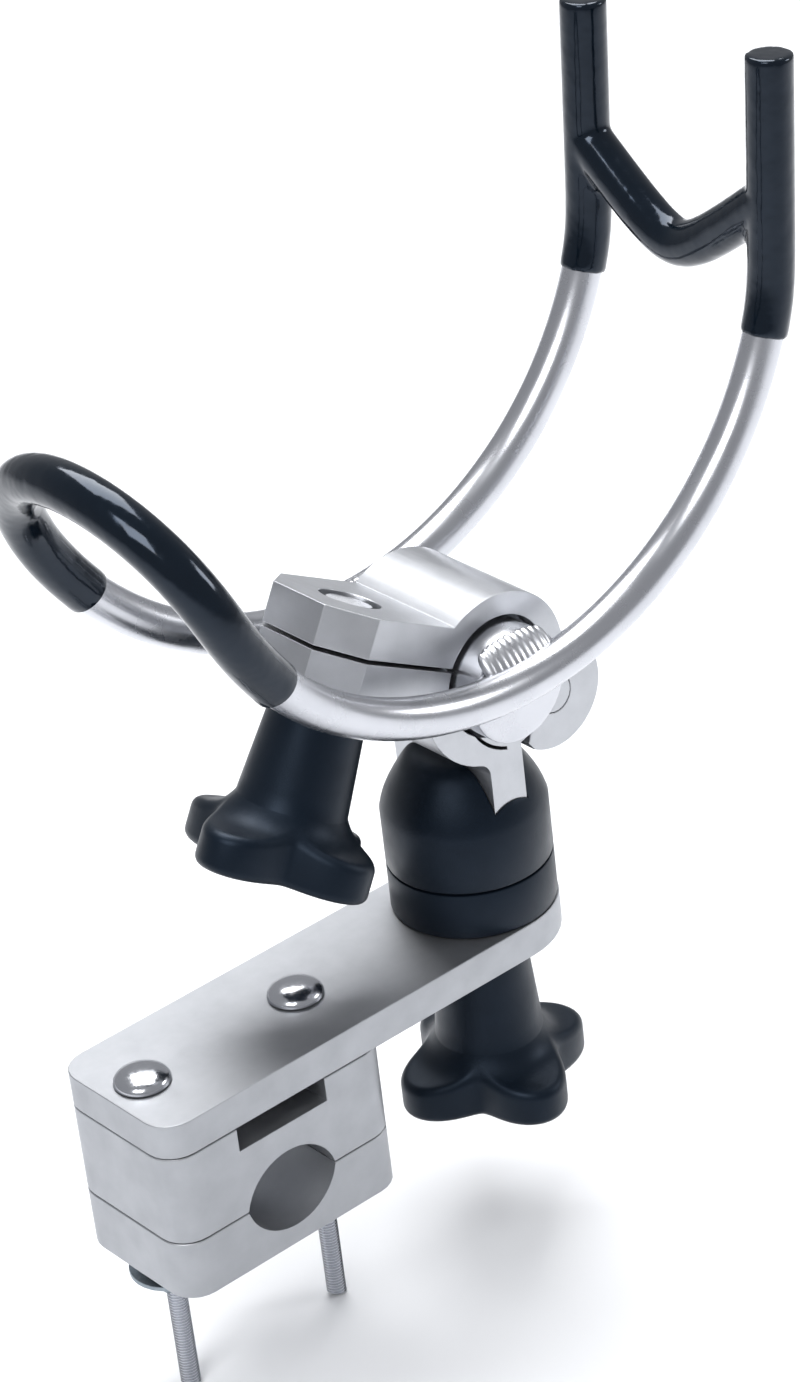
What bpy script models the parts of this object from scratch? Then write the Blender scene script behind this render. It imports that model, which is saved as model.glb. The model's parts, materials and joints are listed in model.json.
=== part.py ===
"""Boat rod holder: a rail clamp, an arm plate, a swivel and a tilting wire cradle.

Metres, +Z up. The origin is the centre of the rail bore. +X runs along the arm
from the rail clamp to the swivel, and Y runs along the rail.
"""

import math

import bmesh
import bpy
from mathutils import Matrix, Vector

MM = 0.001
GAP = 0.3 * MM

# Arm plate
PLATE_WIDTH = 50 * MM
PLATE_THICKNESS = 11 * MM
PLATE_EDGE = 0.7 * MM
CORNER_RADIUS = 9 * MM
SWIVEL_X = 97 * MM

# Rail clamp
BLOCK_LENGTH = 80 * MM
UPPER_BLOCK_HEIGHT = 29 * MM
LOWER_BLOCK_HEIGHT = 19 * MM
BLOCK_EDGE = 0.7 * MM
RAIL_MOUTH_WIDTH = 32 * MM
RAIL_ARC_RISE = 12.8 * MM
STRAP_SLOT_WIDTH = 32 * MM
STRAP_SLOT_DEPTH = 7.5 * MM
RAIL_BOLT_SPACING = 56 * MM
RAIL_BOLT_RADIUS = 3 * MM
RAIL_BOLT_LENGTH = 107 * MM
RAIL_HEAD_RADIUS = 8.25 * MM
RAIL_HEAD_HEIGHT = 3.9 * MM
RAIL_NECK_WIDTH = 6 * MM
RAIL_NECK_DEPTH = 4.5 * MM
RAIL_WASHER_RADIUS = 12.5 * MM
RAIL_WASHER_THICKNESS = 1.5 * MM
RAIL_NUT_BACKED_OFF = 3.3 * MM
RAIL_NUT_ACROSS_FLATS = 10 * MM
RAIL_NUT_HEIGHT = 6 * MM

# Swivel
SWIVEL_RADIUS = 24.75 * MM
BASE_RING_HEIGHT = 14.7 * MM
SEAM_GAP = 0.6 * MM
CAP_SIDE_HEIGHT = 17.5 * MM
CAP_HEIGHT = 35.4 * MM
CAP_TOP_RADIUS = 13 * MM
CAP_FLOOR = 6.5 * MM
FRICTION_WASHER_RADIUS = 20 * MM
FRICTION_WASHER_THICKNESS = 2 * MM
STUD_RADIUS = 5 * MM
STUD_IN_STEM = 15 * MM
STUD_BELOW_PLATE = 38 * MM
STUD_PIN_RADIUS = 2 * MM
DOWEL_RADIUS = 2 * MM
DOWEL_REACH = 5 * MM
DOWEL_OFFSET = 15 * MM

# Tilt clamp
PIVOT_ABOVE_PLATE = 81.9 * MM
CLAMP_LENGTH = 43 * MM
PIVOT_RADIUS = 18 * MM
PIVOT_END_RADIUS = 16.9 * MM
PIVOT_SEAT_LENGTH = 34 * MM
UPPER_RING_RADIUS = 25.3 * MM
LOWER_RING_RADIUS = 27 * MM
JAW_ANGLE = math.radians(151.2)
JAW_REACH = 63 * MM
JAW_THICKNESS = 12.4 * MM
JAW_SLIT = 1.2 * MM
JAW_TIP_WIDTH = 22 * MM
JAW_CHAMFER_START = 51.2 * MM
KNUCKLE_X = 20.5 * MM
KNUCKLE_Z = -15 * MM
KNUCKLE_RADIUS = 5.8 * MM
CLAW_RADIUS = 17.2 * MM
KNUCKLE_TOP = math.radians(-26.3)
STEM_WIDTH = 12.3 * MM
STEM_FILLET = 5 * MM
STEM_ABOVE_FLOOR = 0.3 * MM
SLOT_WIDTH = 1.1 * MM
SLOT_END = math.radians(-88)
SLOT_END_RADIUS = 24 * MM
SLOT_CLIMB = 9.8 * MM

# Clamp screw
SCREW_REACH = 43.4 * MM
SCREW_RADIUS = 4 * MM
SCREW_HEAD_FLATS = 13 * MM
SCREW_HEAD_HEIGHT = 5.3 * MM
SCREW_RECESS_RADIUS = 9.1 * MM
SCREW_RECESS_DEPTH = 6.4 * MM
SCREW_BELOW_JAW = 36 * MM
SCREW_SWING = 0.8 * MM

# Knobs
WASHER_THICKNESS = 1.6 * MM
WASHER_RADIUS = 11 * MM
KNOB_HEIGHT = 53 * MM
KNOB_NECK_TOP_RADIUS = 13.5 * MM
KNOB_NECK_RADIUS = 17.3 * MM
KNOB_FLANGE = 12 * MM
KNOB_LOBE_RADIUS = 31.2 * MM
KNOB_VALLEY_RADIUS = 20.5 * MM
KNOB_LOBES = 4
KNOB_EDGE = 2.5 * MM
INSERT_RADIUS = 8 * MM
INSERT_LENGTH = 24 * MM

# Cradle
ROD_RADIUS = 6 * MM
COAT_THICKNESS = 0.6 * MM
ARM_SPACING = 75 * MM
ARC_RADIUS = 110.5 * MM
ARC_BEHIND_PIVOT = 5.5 * MM
ARC_ABOVE_PIVOT = 115.9 * MM
ARC_FRONT = math.radians(-15.5)
ARC_BACK = math.radians(-154.6)
PRONG_TOP = 154.6 * MM
PRONG_LEAN = math.radians(4.1)
LOOP_WIDTH = 84 * MM
LOOP_DEPTH = 37.2 * MM
LOOP_ANGLE = math.radians(111.5)
COAT_FRONT = math.radians(-22.5)
COAT_BACK = math.radians(-140.5)
SPREAD_START = math.radians(-112)
CROSSBAR_HEIGHT = 90.6 * MM
CROSSBAR_SLOPE = 0.8
CROSSBAR_ROUNDING = 8 * MM
WELD_LENGTH = 20 * MM
WELD_HEIGHT = 6.4 * MM

# Levels and places that follow from the sizes above
PLATE_BOTTOM = UPPER_BLOCK_HEIGHT + GAP
PLATE_TOP = PLATE_BOTTOM + PLATE_THICKNESS
RING_BOTTOM = PLATE_TOP + GAP
RING_TOP = RING_BOTTOM + BASE_RING_HEIGHT
CAP_BOTTOM = RING_TOP + SEAM_GAP
STEM_BOTTOM = CAP_BOTTOM + CAP_FLOOR + STEM_ABOVE_FLOOR
PIVOT = Vector((SWIVEL_X, 0, PLATE_TOP + PIVOT_ABOVE_PLATE))
BORE_RADIUS = PIVOT_RADIUS + GAP
RING_DRILL = STUD_RADIUS + 1.2 * MM
SMOOTH = 48

NATURAL = {"color": (0.72, 0.73, 0.75, 1), "metallic": 1.0, "roughness": 0.42}
POLISHED = {"color": (0.82, 0.83, 0.86, 1), "metallic": 1.0, "roughness": 0.3}
ZINC = {"color": (0.55, 0.58, 0.6, 1), "metallic": 1.0, "roughness": 0.45}
CHROME = {"color": (0.75, 0.76, 0.79, 1), "metallic": 1.0, "roughness": 0.15}
BRASS = {"color": (0.7, 0.5, 0.22, 1), "metallic": 1.0, "roughness": 0.35}
BLACK_MOULDED = {"color": (0.012, 0.02, 0.028, 1), "metallic": 0.0, "roughness": 0.5}
BLACK_VINYL = {"color": (0.004, 0.01, 0.017, 1), "metallic": 0.0, "roughness": 0.18}
NYLON = {"color": (0.75, 0.73, 0.68, 1), "metallic": 0.0, "roughness": 0.5}


def clear_scene():
    for old in list(bpy.data.objects):
        bpy.data.objects.remove(old, do_unlink=True)


def new_collection(name):
    made = bpy.data.collections.new(name)
    bpy.context.scene.collection.children.link(made)
    return made


def finish_material(name, finish):
    material = bpy.data.materials.new(name)
    material.use_nodes = True
    shader = material.node_tree.nodes["Principled BSDF"]
    shader.inputs["Base Color"].default_value = finish["color"]
    shader.inputs["Metallic"].default_value = finish["metallic"]
    shader.inputs["Roughness"].default_value = finish["roughness"]
    return material


def put(mesh, name, finish=None, place=None):
    """Links a mesh as a part, or as a hidden cutter where it has no finish."""
    made = bpy.data.objects.new(name, mesh)
    made.matrix_world = place if place else Matrix.Identity(4)
    if finish is None:
        cutters.objects.link(made)
        made.hide_render = True
        made.display_type = "WIRE"
        return made
    parts.objects.link(made)
    mesh.materials.append(finish_material(name, finish))
    mesh.shade_smooth()
    mesh.set_sharp_from_angle(angle=math.radians(35))
    return made


def cut(part, cutter, operation="DIFFERENCE"):
    boolean = part.modifiers.new(cutter.name, "BOOLEAN")
    boolean.operation = operation
    boolean.object = cutter


def bevel(part, width, segments=1):
    edge = part.modifiers.new("edge", "BEVEL")
    edge.width = width
    edge.segments = segments
    edge.limit_method = "ANGLE"
    edge.angle_limit = math.radians(40)


def arc(center, radius, start, end, steps):
    """Points along an arc, both ends included. It runs clockwise where end is below start."""
    angles = [start + (end - start) * i / steps for i in range(steps + 1)]
    return [(center[0] + radius * math.cos(a), center[1] + radius * math.sin(a)) for a in angles]


def mesh_of(curve_object):
    """The welded mesh of a curve object, in place of the curve."""
    graph = bpy.context.evaluated_depsgraph_get()
    mesh = bpy.data.meshes.new_from_object(curve_object.evaluated_get(graph))
    body = bmesh.new()
    body.from_mesh(mesh)
    bmesh.ops.remove_doubles(body, verts=body.verts, dist=0.001 * MM)
    body.to_mesh(mesh)
    body.free()
    bpy.data.objects.remove(curve_object, do_unlink=True)
    return mesh


def curve_object(dimensions, lines, closed):
    curve = bpy.data.curves.new("guide", "CURVE")
    curve.dimensions = dimensions
    for line in lines:
        spline = curve.splines.new("POLY")
        spline.points.add(len(line) - 1)
        for point, place in zip(spline.points, line):
            point.co = (*place, 0, 1) if len(place) == 2 else (*place, 1)
        spline.use_cyclic_u = closed
    made = bpy.data.objects.new("guide", curve)
    bpy.context.scene.collection.objects.link(made)
    return made


def slab(outline, thickness):
    """A flat outline made solid, centred on its own plane."""
    guide = curve_object("2D", [outline], True)
    guide.data.fill_mode = "BOTH"
    guide.data.extrude = thickness / 2
    bpy.context.view_layer.update()
    return mesh_of(guide)


def tube(path, radius):
    """A round rod along a path, with 12 sides and flat ends."""
    guide = curve_object("3D", [path], False)
    guide.data.bevel_depth = radius
    guide.data.bevel_resolution = 4
    guide.data.use_fill_caps = True
    bpy.context.view_layer.update()
    return mesh_of(guide)


def cylinder(radius, low, high, sides=SMOOTH):
    mesh = bpy.data.meshes.new("cylinder")
    body = bmesh.new()
    middle = Matrix.Translation((0, 0, (low + high) / 2))
    bmesh.ops.create_cone(
        body, cap_ends=True, segments=sides, radius1=radius, radius2=radius, depth=high - low, matrix=middle
    )
    body.to_mesh(mesh)
    body.free()
    return mesh


def box(low, high):
    mesh = bpy.data.meshes.new("box")
    body = bmesh.new()
    size = [b - a for a, b in zip(low, high)]
    middle = [(a + b) / 2 for a, b in zip(low, high)]
    bmesh.ops.create_cube(body, size=1, matrix=Matrix.Translation(middle) @ Matrix.Diagonal((*size, 1)))
    body.to_mesh(mesh)
    body.free()
    return mesh


def turned(name, profile, finish=None, place=None, closed=False, steps=SMOOTH):
    """Turns a profile of (radius, height) points about Z. Its outer side runs downwards."""
    mesh = bpy.data.meshes.new(name)
    ends = [(i, i + 1) for i in range(len(profile) - 1)]
    if closed:
        ends.append((len(profile) - 1, 0))
    mesh.from_pydata([(r, 0, z) for r, z in profile], ends, [])
    made = put(mesh, name, finish, place)
    screw = made.modifiers.new("turn", "SCREW")
    screw.steps = steps
    screw.render_steps = steps
    screw.use_merge_vertices = True
    screw.merge_threshold = 0.01 * MM
    return made


def hexagon(across_flats):
    return arc((0, 0), across_flats / math.sqrt(3), 0, math.radians(300), 5)


# ---------------------------------------------------------------- rail clamp


def bolt_places():
    half = RAIL_BOLT_SPACING / 2
    return {"outer": Matrix.Translation((-half, 0, 0)), "inner": Matrix.Translation((half, 0, 0))}


def drill_for_bolts(part, low, high):
    for side, place in bolt_places().items():
        radius = RAIL_BOLT_RADIUS + GAP
        cut(part, put(cylinder(radius, low - MM, high + MM, 16), f"{part.name}_{side}_drill", None, place))


def block_outline():
    x = BLOCK_LENGTH / 2 - CORNER_RADIUS
    y = PLATE_WIDTH / 2 - CORNER_RADIUS
    corners = [(x, y, 0), (-x, y, 90), (-x, -y, 180), (x, -y, 270)]
    outline = []
    for cx, cy, start in corners:
        outline += arc((cx, cy), CORNER_RADIUS, math.radians(start), math.radians(start + 90), 6)
    return outline


def rail_cutter(name, side):
    """One arc of the rail mouth. Its centre lies beyond the seam, so the mouth is a pointed oval."""
    half = RAIL_MOUTH_WIDTH / 2
    radius = (half**2 + RAIL_ARC_RISE**2) / (2 * RAIL_ARC_RISE)
    offset = side * (radius - RAIL_ARC_RISE)
    place = Matrix.Translation((0, 0, offset)) @ Matrix.Rotation(math.pi / 2, 4, "X")
    return put(cylinder(radius, -PLATE_WIDTH, PLATE_WIDTH), name, None, place)


def rail_block(name, low, high, side):
    place = Matrix.Translation((0, 0, (low + high) / 2))
    block = put(slab(block_outline(), high - low), name, NATURAL, place)
    bevel(block, BLOCK_EDGE)
    cut(block, rail_cutter(name + "_mouth", side))
    drill_for_bolts(block, low, high)
    return block


def rail_blocks():
    upper = rail_block("upper_rail_block", GAP / 2, UPPER_BLOCK_HEIGHT, -1)
    half = STRAP_SLOT_WIDTH / 2
    bottom = UPPER_BLOCK_HEIGHT - STRAP_SLOT_DEPTH
    slot = box((-half, -PLATE_WIDTH, bottom), (half, PLATE_WIDTH, PLATE_TOP))
    cut(upper, put(slot, "strap_slot"))
    rail_block("lower_rail_block", -LOWER_BLOCK_HEIGHT, -GAP / 2, 1)


def rail_fasteners():
    seat = PLATE_TOP + GAP
    dome = [(RAIL_HEAD_RADIUS * math.sin(a), RAIL_HEAD_HEIGHT * math.cos(a)) for a in quarter(6)]
    shank = [(RAIL_BOLT_RADIUS, 0), (RAIL_BOLT_RADIUS, -RAIL_BOLT_LENGTH + MM)]
    end = [(RAIL_BOLT_RADIUS - MM, -RAIL_BOLT_LENGTH), (0, -RAIL_BOLT_LENGTH)]
    washer_top = -LOWER_BLOCK_HEIGHT - RAIL_NUT_BACKED_OFF
    nut_top = washer_top - RAIL_WASHER_THICKNESS - GAP
    hole = RAIL_BOLT_RADIUS + GAP
    for side, place in bolt_places().items():
        raised = place @ Matrix.Translation((0, 0, seat))
        bolt = turned(f"rail_bolt_{side}", dome + shank + end, CHROME, raised, steps=24)
        half = RAIL_NECK_WIDTH / 2
        square = box((-half, -half, -RAIL_NECK_DEPTH), (half, half, MM))
        neck = put(square, f"neck_{side}", None, bolt.matrix_world)
        cut(bolt, neck, "UNION")
        ring_part(
            f"rail_washer_{side}",
            hole,
            RAIL_WASHER_RADIUS,
            washer_top - RAIL_WASHER_THICKNESS,
            washer_top,
            ZINC,
            place,
        )
        lift = Matrix.Translation((0, 0, nut_top - RAIL_NUT_HEIGHT / 2))
        blank = slab(hexagon(RAIL_NUT_ACROSS_FLATS), RAIL_NUT_HEIGHT)
        nut = put(blank, f"rail_nut_{side}", ZINC, place @ lift)
        bore = cylinder(hole, nut_top - 2 * RAIL_NUT_HEIGHT, nut_top + MM, 24)
        cut(nut, put(bore, f"nut_bore_{side}", None, place))


def quarter(steps):
    return [math.pi / 2 * i / steps for i in range(steps + 1)]


def ring_part(name, inner, outer, low, high, finish, place=None, steps=32):
    profile = [(inner, high), (outer, high), (outer, low), (inner, low)]
    return turned(name, profile, finish, place, closed=True, steps=steps)


# ---------------------------------------------------------------- arm plate


def plate_outline():
    left = -BLOCK_LENGTH / 2 + CORNER_RADIUS
    y = PLATE_WIDTH / 2 - CORNER_RADIUS
    outline = arc((SWIVEL_X, 0), PLATE_WIDTH / 2, -math.pi / 2, math.pi / 2, 24)
    outline += arc((left, y), CORNER_RADIUS, math.pi / 2, math.pi, 6)
    outline += arc((left, -y), CORNER_RADIUS, math.pi, math.pi * 1.5, 6)
    return outline


def arm_plate():
    middle = Matrix.Translation((0, 0, (PLATE_BOTTOM + PLATE_TOP) / 2))
    plate = put(slab(plate_outline(), PLATE_THICKNESS), "arm_plate", NATURAL, middle)
    bevel(plate, PLATE_EDGE)
    half = RAIL_NECK_WIDTH / 2 + GAP
    for side, place in bolt_places().items():
        square = box((-half, -half, PLATE_BOTTOM - MM), (half, half, PLATE_TOP + MM))
        cut(plate, put(square, f"square_hole_{side}", None, place))
    through = cylinder(STUD_RADIUS + 0.5 * MM, PLATE_BOTTOM - MM, PLATE_TOP + MM, 32)
    cut(plate, put(through, "stud_hole", None, Matrix.Translation((SWIVEL_X, 0, 0))))
    for name, place in dowel_places().items():
        cut(plate, put(dowel_hole(), f"plate_hole_{name}", None, place))


# ---------------------------------------------------------------- swivel


def dowel_places():
    return {
        "near": Matrix.Translation((SWIVEL_X, -DOWEL_OFFSET, PLATE_TOP)),
        "far": Matrix.Translation((SWIVEL_X, DOWEL_OFFSET, PLATE_TOP)),
    }


def dowel_hole():
    reach = DOWEL_REACH + GAP
    return cylinder(DOWEL_RADIUS + GAP, -reach, reach + GAP, 16)


def swivel_base():
    at = Matrix.Translation((SWIVEL_X, 0, 0))
    recess = FRICTION_WASHER_THICKNESS / 2 - SEAM_GAP / 2 + GAP
    recess_radius = FRICTION_WASHER_RADIUS + GAP
    edge = 0.6 * MM
    profile = [
        (RING_DRILL, RING_TOP - recess),
        (recess_radius, RING_TOP - recess),
        (recess_radius, RING_TOP),
        (SWIVEL_RADIUS - edge, RING_TOP),
        (SWIVEL_RADIUS, RING_TOP - edge),
        (SWIVEL_RADIUS, RING_BOTTOM + edge),
        (SWIVEL_RADIUS - edge, RING_BOTTOM),
        (RING_DRILL, RING_BOTTOM),
    ]
    ring = turned("swivel_base_ring", profile, BLACK_MOULDED, at, closed=True)
    for name, place in dowel_places().items():
        cut(ring, put(dowel_hole(), f"ring_hole_{name}", None, place))
        put(cylinder(DOWEL_RADIUS, -DOWEL_REACH, DOWEL_REACH, 16), f"base_dowel_{name}", ZINC, place)
    seam = (RING_TOP + CAP_BOTTOM) / 2
    half = FRICTION_WASHER_THICKNESS / 2
    ring_part("friction_washer", RING_DRILL, FRICTION_WASHER_RADIUS, seam - half, seam + half, NYLON, at)


def swivel_cap():
    at = Matrix.Translation((SWIVEL_X, 0, 0))
    recess = FRICTION_WASHER_THICKNESS / 2 - SEAM_GAP / 2 + GAP
    recess_radius = FRICTION_WASHER_RADIUS + GAP
    edge = 0.6 * MM
    side = CAP_BOTTOM + CAP_SIDE_HEIGHT
    top = CAP_BOTTOM + CAP_HEIGHT
    slope = CAP_HEIGHT - CAP_SIDE_HEIGHT
    drop = SWIVEL_RADIUS - CAP_TOP_RADIUS
    shares = [(0, 0), (0.05, 0.12), (0.18, 0.33), (0.33, 0.51), (0.47, 0.66), (0.62, 0.8)]
    shoulder = [(SWIVEL_RADIUS - drop * inward, side + slope * up) for inward, up in shares]
    profile = [
        (0, top),
        (CAP_TOP_RADIUS, top),
        *reversed(shoulder),
        (SWIVEL_RADIUS, CAP_BOTTOM + edge),
        (SWIVEL_RADIUS - edge, CAP_BOTTOM),
        (recess_radius, CAP_BOTTOM),
        (recess_radius, CAP_BOTTOM + recess),
        (0, CAP_BOTTOM + recess),
    ]
    cap = turned("swivel_cap", profile, BLACK_MOULDED, at)
    half_x = STEM_WIDTH / 2 + GAP
    half_y = CLAMP_LENGTH / 2 + GAP
    pocket = box((-half_x, -half_y, CAP_BOTTOM + CAP_FLOOR), (half_x, half_y, top + MM))
    cut(cap, put(pocket, "stem_pocket", None, at))
    cut(cap, put(cylinder(STUD_RADIUS + GAP, CAP_BOTTOM - MM, STEM_BOTTOM + MM, 32), "cap_drill", None, at))


def stud_pin_place():
    height = STEM_BOTTOM + STUD_IN_STEM / 2
    return Matrix.Translation((SWIVEL_X, 0, height)) @ Matrix.Rotation(math.pi / 2, 4, "Y")


def pivot_stud():
    at = Matrix.Translation((SWIVEL_X, 0, 0))
    low = PLATE_BOTTOM - STUD_BELOW_PLATE
    stud = put(cylinder(STUD_RADIUS, low, STEM_BOTTOM + STUD_IN_STEM, 32), "pivot_stud", ZINC, at)
    half = STEM_WIDTH / 2
    hole = cylinder(STUD_PIN_RADIUS + GAP, -2 * half, 2 * half, 16)
    cut(stud, put(hole, "stud_cross_hole", None, stud_pin_place()))
    put(cylinder(STUD_PIN_RADIUS, -half, half, 16), "stud_pin", ZINC, stud_pin_place())


# ---------------------------------------------------------------- tilt clamp


def along_jaw(reach, rise):
    """A point of the clamp's section, by its reach along the jaws and its rise above their slit."""
    u = (math.cos(JAW_ANGLE), math.sin(JAW_ANGLE))
    n = (math.sin(JAW_ANGLE), -math.cos(JAW_ANGLE))
    return (u[0] * reach + n[0] * rise, u[1] * reach + n[1] * rise)


def circles_meet(radius_a, center_b, radius_b, side):
    """Where a circle about the pivot meets a circle about center_b."""
    distance = math.hypot(*center_b)
    along = (radius_a**2 - radius_b**2 + distance**2) / (2 * distance)
    across = side * math.sqrt(radius_a**2 - along**2)
    x, z = center_b[0] / distance, center_b[1] / distance
    return (x * along - z * across, z * along + x * across)


def angle_of(point, center=(0, 0)):
    return math.atan2(point[1] - center[1], point[0] - center[0])


def upper_jaw_section():
    knuckle = (KNUCKLE_X, KNUCKLE_Z)
    slit = JAW_SLIT / 2
    bore_at_slit = JAW_ANGLE - math.asin(slit / BORE_RADIUS)
    root = JAW_ANGLE - math.asin(JAW_THICKNESS / UPPER_RING_RADIUS)
    shoulder = circles_meet(UPPER_RING_RADIUS, knuckle, CLAW_RADIUS, 1)
    claw_end = math.radians(-124)
    under = UPPER_RING_RADIUS + GAP
    socket = KNUCKLE_RADIUS + GAP
    socket_start = circles_meet(under, knuckle, socket, -1)
    outline = [along_jaw(JAW_REACH, slit), along_jaw(JAW_REACH, JAW_THICKNESS)]
    outline += arc((0, 0), UPPER_RING_RADIUS, root, angle_of(shoulder), 20)
    outline += arc(knuckle, CLAW_RADIUS, angle_of(shoulder, knuckle), claw_end, 22)[1:]
    outline.append((STEM_WIDTH / 2 + 2.9 * MM, -26.6 * MM))
    outline += arc((0, 0), under, math.radians(-67), angle_of(socket_start), 4)
    outline += arc(knuckle, socket, angle_of(socket_start, knuckle), math.radians(100), 14)[1:]
    outline += arc((0, 0), BORE_RADIUS, KNUCKLE_TOP + math.radians(1.6), bore_at_slit, 24)
    return outline


def slot_wall(side, angle):
    """The relief slot winds outwards from the bore. This is the radius of one of its walls."""
    return SLOT_END_RADIUS + SLOT_CLIMB * (angle - SLOT_END) + side * SLOT_WIDTH / 2


def slot_mouth(side):
    """The angle at which a wall of the relief slot comes out into the bore."""
    return SLOT_END - (SLOT_END_RADIUS + side * SLOT_WIDTH / 2 - BORE_RADIUS) / SLOT_CLIMB


def lower_jaw_section():
    knuckle = (KNUCKLE_X, KNUCKLE_Z)
    slit = JAW_SLIT / 2
    half = STEM_WIDTH / 2
    bore_at_slit = JAW_ANGLE + math.asin(slit / BORE_RADIUS) - 2 * math.pi
    root = JAW_ANGLE + math.asin(JAW_THICKNESS / LOWER_RING_RADIUS)
    fillet_x = -half - STEM_FILLET
    fillet = (fillet_x, -math.sqrt((LOWER_RING_RADIUS + STEM_FILLET) ** 2 - fillet_x**2))
    stem_end = STEM_BOTTOM - PIVOT.z
    notch = (half, -math.sqrt(UPPER_RING_RADIUS**2 - half**2))
    knuckle_start = circles_meet(UPPER_RING_RADIUS, knuckle, KNUCKLE_RADIUS, -1)
    outline = [along_jaw(JAW_REACH, -slit), along_jaw(JAW_REACH, -JAW_THICKNESS)]
    outline += arc((0, 0), LOWER_RING_RADIUS, root, angle_of(fillet) + 2 * math.pi, 12)
    outline += arc(fillet, STEM_FILLET, angle_of(fillet) + math.pi, 0, 5)[1:]
    outline += [(-half, stem_end), (half, stem_end)]
    outline += arc((0, 0), UPPER_RING_RADIUS, angle_of(notch), angle_of(knuckle_start), 5)
    outline += arc(knuckle, KNUCKLE_RADIUS, angle_of(knuckle_start, knuckle), math.radians(110), 14)[1:]
    outline += arc((0, 0), BORE_RADIUS, KNUCKLE_TOP - math.radians(1.6), slot_mouth(-1), 14)
    walls = [(slot_mouth(-1), SLOT_END, -1), (SLOT_END, slot_mouth(1), 1)]
    for start, end, side in walls:
        for i in range(7):
            angle = start + (end - start) * i / 6
            radius = slot_wall(side, angle)
            point = (radius * math.cos(angle), radius * math.sin(angle))
            if math.dist(point, outline[-1]) > GAP:
                outline.append(point)
    outline += arc((0, 0), BORE_RADIUS, slot_mouth(1), bore_at_slit, 8)[1:]
    return outline


def clamp_place():
    """The clamp screw's own frame: +Z up its axis, from the slit, and +X out along the jaws."""
    reach = along_jaw(SCREW_REACH, 0)
    out = Vector((math.cos(JAW_ANGLE), 0, math.sin(JAW_ANGLE)))
    up = Vector((math.sin(JAW_ANGLE), 0, -math.cos(JAW_ANGLE)))
    turn = Matrix((out, up.cross(out), up)).transposed().to_4x4()
    return Matrix.Translation(PIVOT + Vector((reach[0], 0, reach[1]))) @ turn


def tip_cutters():
    half = CLAMP_LENGTH / 2
    tip = JAW_TIP_WIDTH / 2
    start = JAW_CHAMFER_START - SCREW_REACH
    end = JAW_REACH - SCREW_REACH
    slope = (half - tip) / (end - start)
    past = 3 * MM
    made = []
    for side in (-1, 1):
        corners = [
            (start - past, side * (half + past * slope)),
            (end + past, side * (tip - past * slope)),
            (end + past, side * (half + 2 * past)),
            (start - past, side * (half + 2 * past)),
        ]
        made.append(put(slab(corners, 4 * JAW_THICKNESS), f"tip_{side}", None, clamp_place()))
    return made


def clamp_half(name, section, tips):
    """One half of the tilt clamp, a length of extrusion across the arm."""
    place = Matrix.Translation(PIVOT) @ Matrix.Rotation(math.pi / 2, 4, "X")
    half = put(slab(section, CLAMP_LENGTH), name, NATURAL, place)
    for tip in tips:
        cut(half, tip)
    return half


def tilt_clamp():
    tips = tip_cutters()
    screw = clamp_place()
    upper = clamp_half("upper_clamp_jaw", upper_jaw_section(), tips)
    recess = cylinder(SCREW_RECESS_RADIUS, JAW_THICKNESS - SCREW_RECESS_DEPTH, JAW_THICKNESS + MM, 32)
    cut(upper, put(recess, "screw_recess", None, screw))
    cut(upper, put(cylinder(SCREW_RADIUS + GAP, -MM, JAW_THICKNESS, 24), "upper_drill", None, screw))

    lower = clamp_half("head_bracket", lower_jaw_section(), tips)
    swing = cylinder(SCREW_RADIUS + SCREW_SWING, -JAW_THICKNESS - MM, MM, 24)
    cut(lower, put(swing, "lower_drill", None, screw))
    at = Matrix.Translation((SWIVEL_X, 0, 0))
    tapped = cylinder(STUD_RADIUS + GAP, STEM_BOTTOM - MM, STEM_BOTTOM + STUD_IN_STEM + GAP, 32)
    cut(lower, put(tapped, "stem_drill", None, at))
    cross = cylinder(STUD_PIN_RADIUS + GAP, -STEM_WIDTH, STEM_WIDTH, 16)
    cut(lower, put(cross, "stem_cross_hole", None, stud_pin_place()))


def clamp_screw():
    place = clamp_place()
    seat = JAW_THICKNESS - SCREW_RECESS_DEPTH + GAP
    low = -JAW_THICKNESS - SCREW_BELOW_JAW
    middle = Matrix.Translation((0, 0, seat + SCREW_HEAD_HEIGHT / 2))
    screw = put(slab(hexagon(SCREW_HEAD_FLATS), SCREW_HEAD_HEIGHT), "clamp_screw", CHROME, place @ middle)
    cut(screw, put(cylinder(SCREW_RADIUS, low, seat + MM, 24), "screw_shank", None, place), "UNION")


# ---------------------------------------------------------------- knobs


def lobed_outline():
    outline = []
    for i in range(64):
        angle = 2 * math.pi * i / 64
        rise = (1 + math.cos(KNOB_LOBES * angle)) / 2
        radius = KNOB_VALLEY_RADIUS + (KNOB_LOBE_RADIUS - KNOB_VALLEY_RADIUS) * rise
        outline.append((radius * math.cos(angle), radius * math.sin(angle)))
    return outline


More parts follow.
